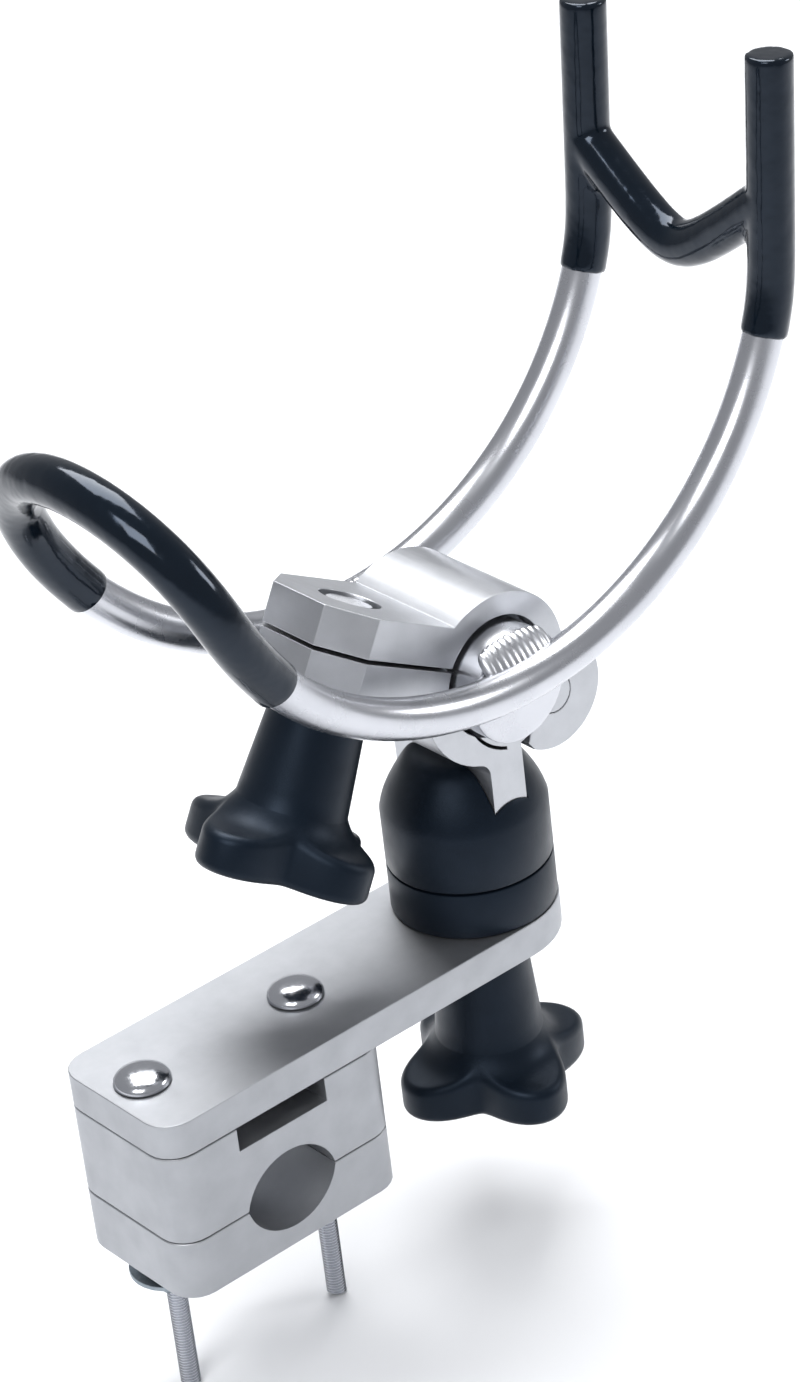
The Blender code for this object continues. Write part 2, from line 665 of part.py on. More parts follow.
def knob(name, place, turn, screw_radius):
    """A long-necked four-lobed knob, its mouth up at the frame's origin, on a brass insert."""
    place = place @ Matrix.Rotation(turn, 4, "Z")
    flange_top = -KNOB_HEIGHT + KNOB_FLANGE
    middle = Matrix.Translation((0, 0, flange_top - KNOB_FLANGE / 2))
    made = put(slab(lobed_outline(), KNOB_FLANGE), name, BLACK_MOULDED, place @ middle)
    bevel(made, KNOB_EDGE, 2)
    profile = [
        (0, 0),
        (KNOB_NECK_TOP_RADIUS - 0.8 * MM, 0),
        (KNOB_NECK_TOP_RADIUS, -0.8 * MM),
        (KNOB_NECK_RADIUS, flange_top + 4 * MM),
        (KNOB_NECK_RADIUS + 3 * MM, flange_top - MM),
        (KNOB_NECK_RADIUS + 3 * MM, flange_top - 4 * MM),
        (0, flange_top - 4 * MM),
    ]
    cut(made, turned(name + "_neck", profile, None, place), "UNION")
    pocket = cylinder(INSERT_RADIUS + GAP, -INSERT_LENGTH - GAP, MM, 32)
    cut(made, put(pocket, name + "_pocket", None, place))
    clear = cylinder(screw_radius + 1.5 * MM, flange_top, MM, 24)
    cut(made, put(clear, name + "_clear", None, place))
    inner = screw_radius + GAP
    ring_part(name + "_insert", inner, INSERT_RADIUS, -INSERT_LENGTH, -GAP, BRASS, place, 24)


def knob_and_washer(name, place, turn, screw_radius):
    ring_part(
        f"{name}_washer", screw_radius + GAP, WASHER_RADIUS, -GAP - WASHER_THICKNESS, -GAP, ZINC, place
    )
    down = Matrix.Translation((0, 0, -WASHER_THICKNESS - 2 * GAP))
    knob(f"{name}_knob", place @ down, turn, screw_radius)


# ---------------------------------------------------------------- cradle


def on_arc(angle, radius=ARC_RADIUS):
    return Vector((
        PIVOT.x - ARC_BEHIND_PIVOT + radius * math.cos(angle),
        PIVOT.z + ARC_ABOVE_PIVOT + radius * math.sin(angle),
    ))


def prong_point(height):
    """A point of the prong's centre line at a height above the pivot."""
    foot = on_arc(ARC_FRONT)
    return foot + Vector((math.tan(PRONG_LEAN), 1)) * (PIVOT.z + height - foot.y)


def arm_spread(angle):
    """Half the spacing of the arms. It widens smoothly behind the clamp, up to the loop."""
    share = min(1, max(0, (SPREAD_START - angle) / (SPREAD_START - ARC_BACK)))
    return (ARM_SPACING + (LOOP_WIDTH - ARM_SPACING) * share * share * (3 - 2 * share)) / 2


def arm(side, start, end, steps):
    """Points of one arm's centre line along its arc, both ends included."""
    angles = [start + (end - start) * i / steps for i in range(steps + 1)]
    points = [(on_arc(angle), side * arm_spread(angle)) for angle in angles]
    return [Vector((p.x, y, p.y)) for p, y in points]


def prong(side, heights):
    return [Vector((prong_point(h).x, side * ARM_SPACING / 2, prong_point(h).y)) for h in heights]


def arm_line(side):
    """One arm's centre line, from the top of its prong to the start of the rear loop."""
    line = prong(side, [PRONG_TOP, 0.75 * PRONG_TOP])
    line += arm(side, ARC_FRONT, COAT_FRONT, 1)
    line += arm(side, COAT_FRONT, COAT_BACK, 20)[1:]
    line += arm(side, COAT_BACK, ARC_BACK, 4)[1:]
    return line


def cradle_path():
    start = on_arc(ARC_BACK)
    loop = []
    for i in range(1, 12):
        angle = math.pi * i / 12
        reach = LOOP_DEPTH * math.sin(angle)
        x = start.x + reach * math.cos(LOOP_ANGLE)
        z = start.y + reach * math.sin(LOOP_ANGLE)
        loop.append(Vector((x, -LOOP_WIDTH / 2 * math.cos(angle), z)))
    return arm_line(-1) + loop + list(reversed(arm_line(1)))


def crossbar_path():
    """The crossbar is a rounded V between the centre lines of the prongs."""
    path = []
    for i in range(17):
        y = ARM_SPACING / 2 * (i / 8 - 1)
        rise = math.hypot(CROSSBAR_ROUNDING, CROSSBAR_SLOPE * y) - CROSSBAR_ROUNDING
        height = CROSSBAR_HEIGHT + rise
        path.append(Vector((prong_point(height).x, y, prong_point(height).y)))
    return path


def crossbar():
    bar = put(tube(crossbar_path(), ROD_RADIUS), "fork_crossbar", NATURAL)
    for side in (-1, 1):
        upright = prong(side, [1.02 * PRONG_TOP]) + arm_line(side)[1:8]
        cut(bar, put(tube(upright, ROD_RADIUS + GAP), f"upright_{side}"))


def loop_sleeve():
    path = cradle_path()
    start = 3 + 20
    stop = len(path) - start
    sleeve = put(tube(path[start:stop], ROD_RADIUS + GAP + COAT_THICKNESS), "loop_sleeve", BLACK_VINYL)
    bore = tube(path[start - 1 : stop + 1], ROD_RADIUS + GAP)
    cut(sleeve, put(bore, "sleeve_bore"))


def fork_coat():
    """One dipped skin over both prongs and the crossbar, open at its two lower ends."""
    outer = ROD_RADIUS + GAP + COAT_THICKNESS
    top = PRONG_TOP + GAP + COAT_THICKNESS
    near = prong(-1, [top]) + arm_line(-1)[1:4]
    coat = put(tube(near, outer), "fork_coat", BLACK_VINYL)
    far = prong(1, [top]) + arm_line(1)[1:4]
    cut(coat, put(tube(crossbar_path(), outer), "coat_cross"), "UNION")
    cut(coat, put(tube(far, outer), "coat_far"), "UNION")
    cut(coat, put(tube(crossbar_path(), ROD_RADIUS + GAP), "hollow_cross"))
    for side in (-1, 1):
        hollow = prong(side, [PRONG_TOP + GAP]) + arm_line(side)[1:5]
        cut(coat, put(tube(hollow, ROD_RADIUS + GAP), f"hollow_{side}"))


def pivot_bar():
    end = ARM_SPACING / 2 - ROD_RADIUS - GAP
    seat = PIVOT_SEAT_LENGTH / 2
    step = PIVOT_RADIUS - PIVOT_END_RADIUS
    profile = [
        (0, end),
        (PIVOT_END_RADIUS - MM, end),
        (PIVOT_END_RADIUS, end - MM),
        (PIVOT_END_RADIUS, seat + step),
        (PIVOT_RADIUS, seat),
        (PIVOT_RADIUS, -seat),
        (PIVOT_END_RADIUS, -seat - step),
        (PIVOT_END_RADIUS, -end + MM),
        (PIVOT_END_RADIUS - MM, -end),
        (0, -end),
    ]
    across = Matrix.Translation(PIVOT) @ Matrix.Rotation(math.pi / 2, 4, "X")
    turned("pivot_bar", profile, POLISHED, across)


def weld_beads():
    """A bead fills the corner above and below the rod where it crosses each end of the pivot bar."""
    end = ARM_SPACING / 2 - ROD_RADIUS - GAP
    lowest = on_arc(-math.pi / 2)
    for side, name in ((-1, "near"), (1, "far")):
        length = arm(side, math.radians(-76), math.radians(-104), 8)
        rod = put(tube(length, ROD_RADIUS + GAP), f"rod_{name}")
        across = Matrix.Translation(PIVOT) @ Matrix.Rotation(-side * math.pi / 2, 4, "X")
        bar = put(cylinder(PIVOT_RADIUS, 0, end + GAP), f"bar_{name}", None, across)
        for rise, where in ((1, "top"), (-1, "bottom")):
            mesh = bpy.data.meshes.new("bead")
            body = bmesh.new()
            size = Matrix.Diagonal((WELD_LENGTH / 2, WELD_HEIGHT * 0.7, WELD_HEIGHT * 0.6, 1))
            place = (PIVOT.x - 2 * MM, side * (end + 0.6 * MM), lowest.y + rise * (ROD_RADIUS - 0.2 * MM))
            stretched = Matrix.Translation(place) @ size
            bmesh.ops.create_uvsphere(body, u_segments=16, v_segments=8, radius=1, matrix=stretched)
            body.to_mesh(mesh)
            body.free()
            bead = put(mesh, f"{name}_{where}_weld", POLISHED)
            cut(bead, rod)
            cut(bead, bar)


def cradle():
    put(tube(cradle_path(), ROD_RADIUS), "cradle_rod", POLISHED)
    crossbar()
    loop_sleeve()
    fork_coat()
    pivot_bar()
    weld_beads()


clear_scene()
parts = new_collection("rod_holder")
cutters = new_collection("cutters")
rail_blocks()
arm_plate()
rail_fasteners()
swivel_base()
swivel_cap()
pivot_stud()
knob_and_washer("swivel", Matrix.Translation((SWIVEL_X, 0, PLATE_BOTTOM)), math.radians(-8), STUD_RADIUS)
tilt_clamp()
clamp_screw()
below_jaw = clamp_place() @ Matrix.Translation((0, 0, -JAW_THICKNESS))
knob_and_washer("clamp", below_jaw, math.radians(11), SCREW_RADIUS)
cradle()
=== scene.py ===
import json
import math

import bpy
from mathutils import Matrix, Vector

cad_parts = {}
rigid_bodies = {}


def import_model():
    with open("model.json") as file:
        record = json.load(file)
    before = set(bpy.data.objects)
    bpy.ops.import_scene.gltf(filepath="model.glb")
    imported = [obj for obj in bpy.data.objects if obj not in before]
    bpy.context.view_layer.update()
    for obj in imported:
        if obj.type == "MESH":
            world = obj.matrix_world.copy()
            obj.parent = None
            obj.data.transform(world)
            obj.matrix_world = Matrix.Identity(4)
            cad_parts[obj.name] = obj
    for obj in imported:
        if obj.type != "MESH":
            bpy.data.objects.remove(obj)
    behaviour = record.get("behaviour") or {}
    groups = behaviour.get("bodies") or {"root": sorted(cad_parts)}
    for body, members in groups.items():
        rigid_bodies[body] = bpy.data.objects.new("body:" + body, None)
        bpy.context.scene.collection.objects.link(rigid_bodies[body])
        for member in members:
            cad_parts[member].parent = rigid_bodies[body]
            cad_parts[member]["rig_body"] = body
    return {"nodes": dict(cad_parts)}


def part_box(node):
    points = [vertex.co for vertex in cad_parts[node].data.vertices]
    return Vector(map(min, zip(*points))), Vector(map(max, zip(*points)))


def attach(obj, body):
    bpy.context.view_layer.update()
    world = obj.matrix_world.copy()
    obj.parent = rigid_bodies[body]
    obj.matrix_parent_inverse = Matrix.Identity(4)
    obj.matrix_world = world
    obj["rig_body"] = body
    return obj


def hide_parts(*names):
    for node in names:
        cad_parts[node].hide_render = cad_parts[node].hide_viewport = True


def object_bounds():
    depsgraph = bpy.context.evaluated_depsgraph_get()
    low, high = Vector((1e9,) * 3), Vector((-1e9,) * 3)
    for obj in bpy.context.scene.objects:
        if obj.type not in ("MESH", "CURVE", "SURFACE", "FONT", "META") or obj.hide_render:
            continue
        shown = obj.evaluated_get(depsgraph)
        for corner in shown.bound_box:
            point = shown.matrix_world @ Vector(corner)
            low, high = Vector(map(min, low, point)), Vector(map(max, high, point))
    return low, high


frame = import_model()
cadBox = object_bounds()

mm = 0.001
up = Vector((0, 0, 1))


# materials

def hexColour(value):
    channels = [int(value[i:i + 2], 16) / 255 for i in (1, 3, 5)]
    linear = [c / 12.92 if c <= 0.04045 else ((c + 0.055) / 1.055) ** 2.4 for c in channels]
    return (*linear, 1)


def addNode(tree, kind, settings=None, inputs=None):
    node = tree.nodes.new(kind)
    for name, value in (settings or {}).items():
        setattr(node, name, value)
    for name, value in (inputs or {}).items():
        if isinstance(value, bpy.types.NodeSocket):
            tree.links.new(value, node.inputs[name])
        else:
            node.inputs[name].default_value = value
    return node


def newMaterial(name, colour, metallic, roughness):
    made = bpy.data.materials.new(name)
    made.use_nodes = True
    shader = made.node_tree.nodes["Principled BSDF"]
    shader.inputs["Base Color"].default_value = hexColour(colour)
    shader.inputs["Metallic"].default_value = metallic
    shader.inputs["Roughness"].default_value = roughness
    return made, made.node_tree, shader


def stretchedCoordinates(tree, scale):
    where = addNode(tree, "ShaderNodeTexCoord").outputs["Object"]
    return addNode(tree, "ShaderNodeMapping", None, {"Vector": where, "Scale": scale}).outputs["Vector"]


def noiseAt(tree, vector, size, detail=3.0, roughness=0.55):
    # size is the width of one grain, in metres
    return addNode(tree, "ShaderNodeTexNoise", None, {
        "Vector": vector, "Scale": 1 / size, "Detail": detail, "Roughness": roughness}).outputs["Fac"]


def between(tree, factor, low, high):
    return addNode(tree, "ShaderNodeMapRange", None, {
        "Value": factor, "From Min": 0.3, "From Max": 0.7, "To Min": low, "To Max": high}).outputs["Result"]


def mixColours(tree, factor, first, second):
    mix = addNode(tree, "ShaderNodeMix", {"data_type": "RGBA"}, {"Factor": factor})
    mix.inputs[6].default_value = hexColour(first)
    mix.inputs[7].default_value = hexColour(second)
    return mix.outputs[2]


def bumpFrom(tree, shader, height, depth):
    bump = addNode(tree, "ShaderNodeBump", None, {"Height": height, "Strength": 1.0, "Distance": depth})
    tree.links.new(bump.outputs["Normal"], shader.inputs["Normal"])


def blastedAluminium():
    # bar stock, glass-bead blasted and clear anodised: an even pale sheen, no streaks
    look = {"light": "#B2B4B8", "dark": "#A5A7AB", "grain": 0.35 * mm, "patch": 9 * mm, "depth": 0.012 * mm}
    made, tree, shader = newMaterial("blastedAluminium", look["light"], 1.0, 0.48)
    place = stretchedCoordinates(tree, (1, 1, 1))
    patch = noiseAt(tree, place, look["patch"], 4.0)
    grain = noiseAt(tree, place, look["grain"], 2.0)
    tree.links.new(mixColours(tree, patch, look["light"], look["dark"]), shader.inputs["Base Color"])
    tree.links.new(between(tree, patch, 0.45, 0.53), shader.inputs["Roughness"])
    bumpFrom(tree, shader, grain, look["depth"])
    return made


def extrudedAluminium():
    # sawn extrusion, lightly blasted: die lines run along its length, across the arm
    look = {"light": "#C2C4C8", "dark": "#ADAFB3", "line": 0.5 * mm, "grain": 0.35 * mm}
    made, tree, shader = newMaterial("extrudedAluminium", look["light"], 1.0, 0.4)
    lines = noiseAt(tree, stretchedCoordinates(tree, (1, 0.02, 1)), look["line"], 2.0)
    grain = noiseAt(tree, stretchedCoordinates(tree, (1, 1, 1)), look["grain"], 2.0)
    patch = noiseAt(tree, stretchedCoordinates(tree, (1, 1, 1)), 8 * mm, 4.0)
    tree.links.new(mixColours(tree, patch, look["light"], look["dark"]), shader.inputs["Base Color"])
    tree.links.new(between(tree, lines, 0.36, 0.44), shader.inputs["Roughness"])
    height = addNode(tree, "ShaderNodeMath", {"operation": "ADD"}, {0: grain, 1: lines})
    bumpFrom(tree, shader, height.outputs[0], 0.01 * mm)
    return made


def polishedRod():
    # drawn aluminium rod, satin polished: soft bright bands along it
    look = {"light": "#CFD0D5", "dark": "#BCBEC3", "grain": 0.5 * mm, "patch": 14 * mm}
    made, tree, shader = newMaterial("polishedRod", look["light"], 1.0, 0.26)
    place = stretchedCoordinates(tree, (1, 1, 1))
    patch = noiseAt(tree, place, look["patch"], 4.0)
    grain = noiseAt(tree, place, look["grain"], 2.0)
    tree.links.new(mixColours(tree, patch, look["light"], look["dark"]), shader.inputs["Base Color"])
    tree.links.new(between(tree, patch, 0.22, 0.31), shader.inputs["Roughness"])
    bumpFrom(tree, shader, grain, 0.006 * mm)
    return made


def tigBead():
    # weld metal: brighter on its ripples, a little duller and greyer in between
    made, tree, shader = newMaterial("tigBead", "#DCDDE1", 1.0, 0.3)
    place = stretchedCoordinates(tree, (1, 1, 1))
    patch = noiseAt(tree, place, 2.5 * mm, 4.0)
    tree.links.new(mixColours(tree, patch, "#DADBDF", "#A9ABB0"), shader.inputs["Base Color"])
    tree.links.new(between(tree, patch, 0.24, 0.42), shader.inputs["Roughness"])
    bumpFrom(tree, shader, noiseAt(tree, place, 0.6 * mm, 3.0), 0.03 * mm)
    return made


def dippedVinyl():
    # plastisol dip coat: thick, very glossy, with a slow ripple from flowing as it cured
    made, tree, shader = newMaterial("dippedVinyl", "#050D15", 0.0, 0.11)
    shader.inputs["IOR"].default_value = 1.53
    shader.inputs["Specular Tint"].default_value = hexColour("#A0B2CC")
    shader.inputs["Coat Weight"].default_value = 0.2
    shader.inputs["Coat Roughness"].default_value = 0.06
    place = stretchedCoordinates(tree, (1, 1, 1))
    flow = noiseAt(tree, place, 9 * mm, 2.0)
    tree.links.new(mixColours(tree, flow, "#060F18", "#040A11"), shader.inputs["Base Color"])
    tree.links.new(between(tree, noiseAt(tree, place, 3 * mm, 4.0), 0.1, 0.19), shader.inputs["Roughness"])
    bumpFrom(tree, shader, flow, 0.35 * mm)
    return made


def mouldedNylon():
    # glass-filled nylon, moulded: satin blue-black with a fine spark-eroded grain
    made, tree, shader = newMaterial("mouldedNylon", "#0A121B", 0.0, 0.42)
    shader.inputs["IOR"].default_value = 1.5
    shader.inputs["Specular Tint"].default_value = hexColour("#93A5BD")
    place = stretchedCoordinates(tree, (1, 1, 1))
    patch = noiseAt(tree, place, 11 * mm, 4.0)
    grain = noiseAt(tree, place, 0.45 * mm, 3.0, 0.7)
    tree.links.new(mixColours(tree, patch, "#0B141E", "#070E16"), shader.inputs["Base Color"])
    tree.links.new(between(tree, patch, 0.36, 0.48), shader.inputs["Roughness"])
    bumpFrom(tree, shader, grain, 0.04 * mm)
    return made


def polishedStainless():
    # cold-headed stainless bolt, tumbled bright, with fine scuffs
    made, tree, shader = newMaterial("polishedStainless", "#C9CBD0", 1.0, 0.16)
    place = stretchedCoordinates(tree, (1, 1, 1))
    scuffs = noiseAt(tree, place, 1.4 * mm, 5.0, 0.7)
    tree.links.new(between(tree, scuffs, 0.1, 0.26), shader.inputs["Roughness"])
    bumpFrom(tree, shader, scuffs, 0.01 * mm)
    return made


def zincPlate():
    # bright zinc gone slightly dull: cool grey with cloudy patches
    made, tree, shader = newMaterial("zincPlate", "#8A949B", 1.0, 0.38)
    place = stretchedCoordinates(tree, (1, 1, 1))
    cloud = noiseAt(tree, place, 2.2 * mm, 5.0, 0.65)
    tree.links.new(mixColours(tree, cloud, "#9AA3AA", "#6D767D"), shader.inputs["Base Color"])
    tree.links.new(between(tree, cloud, 0.28, 0.5), shader.inputs["Roughness"])
    bumpFrom(tree, shader, cloud, 0.02 * mm)
    return made


def turnedBrass():
    # free-cutting brass insert: fine turning rings
    made, tree, shader = newMaterial("turnedBrass", "#B08A45", 1.0, 0.3)
    rings = noiseAt(tree, stretchedCoordinates(tree, (0.1, 0.1, 1)), 0.4 * mm, 2.0)
    tree.links.new(between(tree, rings, 0.24, 0.36), shader.inputs["Roughness"])
    bumpFrom(tree, shader, rings, 0.02 * mm)
    return made


def naturalNylon():
    # unfilled nylon bearing washer: waxy off-white
    made, tree, shader = newMaterial("naturalNylon", "#DAD5C6", 0.0, 0.42)
    cloud = noiseAt(tree, stretchedCoordinates(tree, (1, 1, 1)), 5 * mm, 3.0)
    tree.links.new(mixColours(tree, cloud, "#DDD8CA", "#CFC9B8"), shader.inputs["Base Color"])
    return made


finishes = {
    "blasted": blastedAluminium(),
    "extruded": extrudedAluminium(),
    "rod": polishedRod(),
    "bead": tigBead(),
    "vinyl": dippedVinyl(),
    "moulded": mouldedNylon(),
    "stainless": polishedStainless(),
    "zinc": zincPlate(),
    "brass": turnedBrass(),
    "nylon": naturalNylon(),
}
print("materials made")


# tools for making and finishing pieces

def startPiece(name):
    # call straight after a primitive is added
    piece = bpy.context.object
    piece.name = name
    piece.data.name = name
    return piece


def only(piece):
    if bpy.context.mode != "OBJECT":
        bpy.ops.object.mode_set(mode="OBJECT")
    bpy.ops.object.select_all(action="DESELECT")
    piece.select_set(True)
    bpy.context.view_layer.objects.active = piece


def inEditMode(piece, *steps):
    # runs each step on everything in the piece, in edit mode
    only(piece)
    bpy.ops.object.mode_set(mode="EDIT")
    bpy.ops.mesh.select_all(action="SELECT")
    for step in steps:
        step()
    bpy.ops.object.mode_set(mode="OBJECT")


def tidyMesh(piece, gap=0.002 * mm):
    inEditMode(
        piece,
        lambda: bpy.ops.mesh.remove_doubles(threshold=gap),
        lambda: bpy.ops.mesh.normals_make_consistent(inside=False),
    )


def applyModifiers(piece):
    only(piece)
    for modifier in list(piece.modifiers):
        bpy.ops.object.modifier_apply(modifier=modifier.name)


def bakePlace(piece, place=None):
    # puts the piece's place into its mesh
    if place is not None:
        piece.matrix_world = place @ piece.matrix_world
    only(piece)
    bpy.ops.object.transform_apply(location=True, rotation=True, scale=True)


def softenEdges(piece, width, segments=2, angle=32):
    bevel = piece.modifiers.new("edges", "BEVEL")
    bevel.width = width
    bevel.segments = segments
    bevel.limit_method = "ANGLE"
    bevel.angle_limit = math.radians(angle)
    bevel.use_clamp_overlap = True
    applyModifiers(piece)


def combine(piece, other, operation):
    boolean = piece.modifiers.new("combine", "BOOLEAN")
    boolean.operation = operation
    boolean.solver = "EXACT"
    boolean.object = other
    applyModifiers(piece)
    bpy.data.objects.remove(other, do_unlink=True)


def finish(piece, nodes, finishName, smooth=32, flatten=False):
    only(piece)
    piece.data.materials.clear()
    piece.data.materials.append(finishes[finishName])
    bpy.ops.object.shade_smooth_by_angle(angle=math.radians(smooth))
    if flatten:
        weigh = piece.modifiers.new("weigh", "WEIGHTED_NORMAL")
        weigh.keep_sharp = True
        applyModifiers(piece)
    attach(piece, frame["nodes"][nodes[0]]["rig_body"])
    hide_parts(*nodes)
    return piece


def machinedFrom(node, name, edge, segments=2):
    # a finished copy of a machined CAD solid, with its edges eased
    source = frame["nodes"][node]
    piece = bpy.data.objects.new(name, source.data.copy())
    bpy.context.scene.collection.objects.link(piece)
    inEditMode(
        piece,
        lambda: bpy.ops.mesh.remove_doubles(threshold=0.002 * mm),
        lambda: bpy.ops.mesh.dissolve_limited(angle_limit=math.radians(0.4)),
    )
    softenEdges(piece, edge, segments)
    return piece


def bentGrid(name, across, along, placeAt, closeEnds=True):
    # bends a grid into a tube: placeAt(turn, share) gives each point, turn going once round
    bpy.ops.mesh.primitive_grid_add(x_subdivisions=across, y_subdivisions=along, size=2)
    piece = startPiece(name)
    for vertex in piece.data.vertices:
        turn = (vertex.co.x + 1) / 2
        share = (vertex.co.y + 1) / 2
        vertex.co = placeAt(turn, share)
    tidyMesh(piece)
    if closeEnds:
        inEditMode(
            piece,
            lambda: bpy.ops.mesh.select_all(action="DESELECT"),
            lambda: bpy.ops.mesh.select_mode(type="EDGE"),
            lambda: bpy.ops.mesh.select_non_manifold(),
            lambda: bpy.ops.mesh.fill_holes(sides=0),
            lambda: bpy.ops.mesh.select_all(action="SELECT"),
            lambda: bpy.ops.mesh.normals_make_consistent(inside=False),
            lambda: bpy.ops.mesh.select_mode(type="VERT"),
        )
    return piece


def turnedPiece(name, profile, place=None, sides=96, ring=False):
    # turns a profile of (radius, height) points, in millimetres, about Z. ring joins its ends
    points = profile + profile[:1] if ring else profile

    def placeAt(turn, share):
        radius, height = points[round(share * (len(points) - 1))]
        angle = 2 * math.pi * turn
        return (radius * mm * math.cos(angle), radius * mm * math.sin(angle), height * mm)

    piece = bentGrid(name, sides, len(points) - 1, placeAt, not ring)
    bakePlace(piece, place)
    return piece


def roundRod(name, path, radius, sides=32, caps=True):
    # a round rod along a path
    curve = bpy.data.curves.new(name, "CURVE")
    curve.dimensions = "3D"
    spline = curve.splines.new("POLY")
    spline.points.add(len(path) - 1)
    for point, place in zip(spline.points, path):
        point.co = (*place, 1)
    curve.bevel_depth = radius
    curve.bevel_resolution = sides // 2 - 2
    curve.use_fill_caps = caps
    rod = bpy.data.objects.new(name, curve)
    bpy.context.scene.collection.objects.link(rod)
    only(rod)
    bpy.ops.object.convert(target="MESH")
    rod = bpy.context.object
    tidyMesh(rod)
    return rod


def joined(pieces, name):
    only(pieces[0])
    for piece in pieces:
        piece.select_set(True)
    bpy.ops.object.join()
    return startPiece(name)


def melt(piece, voxel, rounds):
    # runs touching bodies into one, then lets the skin settle
    remesh = piece.modifiers.new("melt", "REMESH")
    remesh.mode = "VOXEL"
    remesh.voxel_size = voxel
    smooth = piece.modifiers.new("settle", "SMOOTH")
    smooth.factor = 0.5
    smooth.iterations = rounds
    applyModifiers(piece)


# rail clamp and arm plate

machined = {"plateEdge": 0.25 * mm, "blockEdge": 0.25 * mm, "jawEdge": 0.35 * mm, "smooth": 40}

for node, name in (("upper_rail_block", "upperRailBlock"), ("lower_rail_block", "lowerRailBlock")):
    finish(machinedFrom(node, name, machined["blockEdge"]), [node], "blasted", machined["smooth"], True)
plate = machinedFrom("arm_plate", "armPlate", machined["plateEdge"])
finish(plate, ["arm_plate"], "blasted", machined["smooth"], True)
print("rail clamp and arm plate made")


# bolts, washers and nuts

# pitches of M6 and M8 in millimetres, points in each turn, and depth as a share of the pitch
threads = {"bolt": 1.0, "clamp": 1.25, "steps": 24, "depth": 0.6}


def threadedRod(name, radius, low, high, pitch, place):
    # a true helical thread between two heights, in millimetres
    turns = math.ceil((high - low) / pitch) + 3
    root = radius - threads["depth"] * pitch
    rows = [(radius, 0.0), (radius, 0.1), (root, 0.45), (root, 0.6), (radius, 0.95)]
    count = turns * len(rows)

    def placeAt(turn, share):
        index = round(share * count)
        lap, step = divmod(index, len(rows))
        r, rise = rows[step]
        angle = 2 * math.pi * turn
        height = low - 2 * pitch + (lap + rise + turn) * pitch
        return (r * mm * math.cos(angle), r * mm * math.sin(angle), height * mm)

    rod = bentGrid(name, threads["steps"], count, placeAt, False)
    # one turn on, the seam meets the row above
    for level, inner in ((low, True), (high, False)):
        inEditMode(rod, lambda: bpy.ops.mesh.bisect(
            plane_co=(0, 0, level * mm), plane_no=(0, 0, 1), use_fill=True,
            clear_inner=inner, clear_outer=not inner))
    bakePlace(rod, place)
    return rod


def chamferedHexagon(name, flats, height, bothFaces):
    # a hexagon whose corners are turned off at 30 degrees, its top at z = 0
    corner = flats / math.sqrt(3)
    bpy.ops.mesh.primitive_cylinder_add(vertices=6, radius=corner * mm, depth=height * mm,
                                        location=(0, 0, -height / 2 * mm))
    hexagon = startPiece(name)
    reach = corner + 0.4
    drop = (reach - flats / 2) * math.tan(math.radians(30))
    lowCorner = -height + drop if bothFaces else -height - 1
    face = flats / 2 - 0.2
    over = 0.3
    cone = [(0, over), (face, over), (reach, -drop), (reach, lowCorner), (face, -height - over),
            (0, -height - over)]
    combine(hexagon, turnedPiece("cone", cone, None, 64), "INTERSECT")
    return hexagon


bolt = {"offset": 28.0, "head": 8.25, "dome": 3.9, "rim": 0.5, "shank": 3.0, "neck": 6.0, "neckDepth": 4.5,
        "threadTop": 0.4, "point": 2.35, "tip": 1.9}
boltPlaces = {
    "outer": Matrix.Translation((-bolt["offset"] * mm, 0, 0)),
    "inner": Matrix.Translation((bolt["offset"] * mm, 0, 0)),
}


def railBolts():
    low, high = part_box("rail_bolt_outer")
    seat, end = high.z / mm - bolt["dome"], low.z / mm
    radius, dome, rim = bolt["head"], bolt["dome"], bolt["rim"]
    profile = [(0, seat + dome)]
    for i in range(1, 13):
        angle = math.radians(7.5 * i)
        profile.append((radius * math.sin(angle), seat + rim + (dome - rim) * math.cos(angle)))
    profile += [(radius + 0.05, seat + 0.3), (radius - 0.15, seat + 0.02), (bolt["shank"], seat),
                (bolt["shank"], 0), (0, 0)]
    head = turnedPiece("railBolt_outer", profile)
    bpy.ops.mesh.primitive_cube_add(size=1, location=(0, 0, (seat - bolt["neckDepth"] / 2) * mm),
                                    scale=(bolt["neck"] * mm, bolt["neck"] * mm, bolt["neckDepth"] * mm))
    neck = startPiece("neck")
    bakePlace(neck)
    combine(head, neck, "UNION")
    shank = threadedRod("shank", bolt["shank"] - 0.02, end + 0.7, bolt["threadTop"], threads["bolt"], None)
    combine(head, shank, "UNION")
    wide = bolt["point"]
    point = [(0, end + 1.2), (wide, end + 1.2), (wide, end + 0.4), (bolt["tip"], end), (0, end)]
    combine(head, turnedPiece("point", point), "UNION")
    inner = bpy.data.objects.new("railBolt_inner", head.data.copy())
    bpy.context.scene.collection.objects.link(inner)
    for piece, side in ((head, "outer"), (inner, "inner")):
        bakePlace(piece, boltPlaces[side])
        finish(piece, [f"rail_bolt_{side}"], "stainless")
    print("rail bolts made")


nut = {"flats": 10.0, "height": 6.0, "thread": 3.05, "mouth": 4.4, "edge": 0.12 * mm, "washerHole": 3.3}


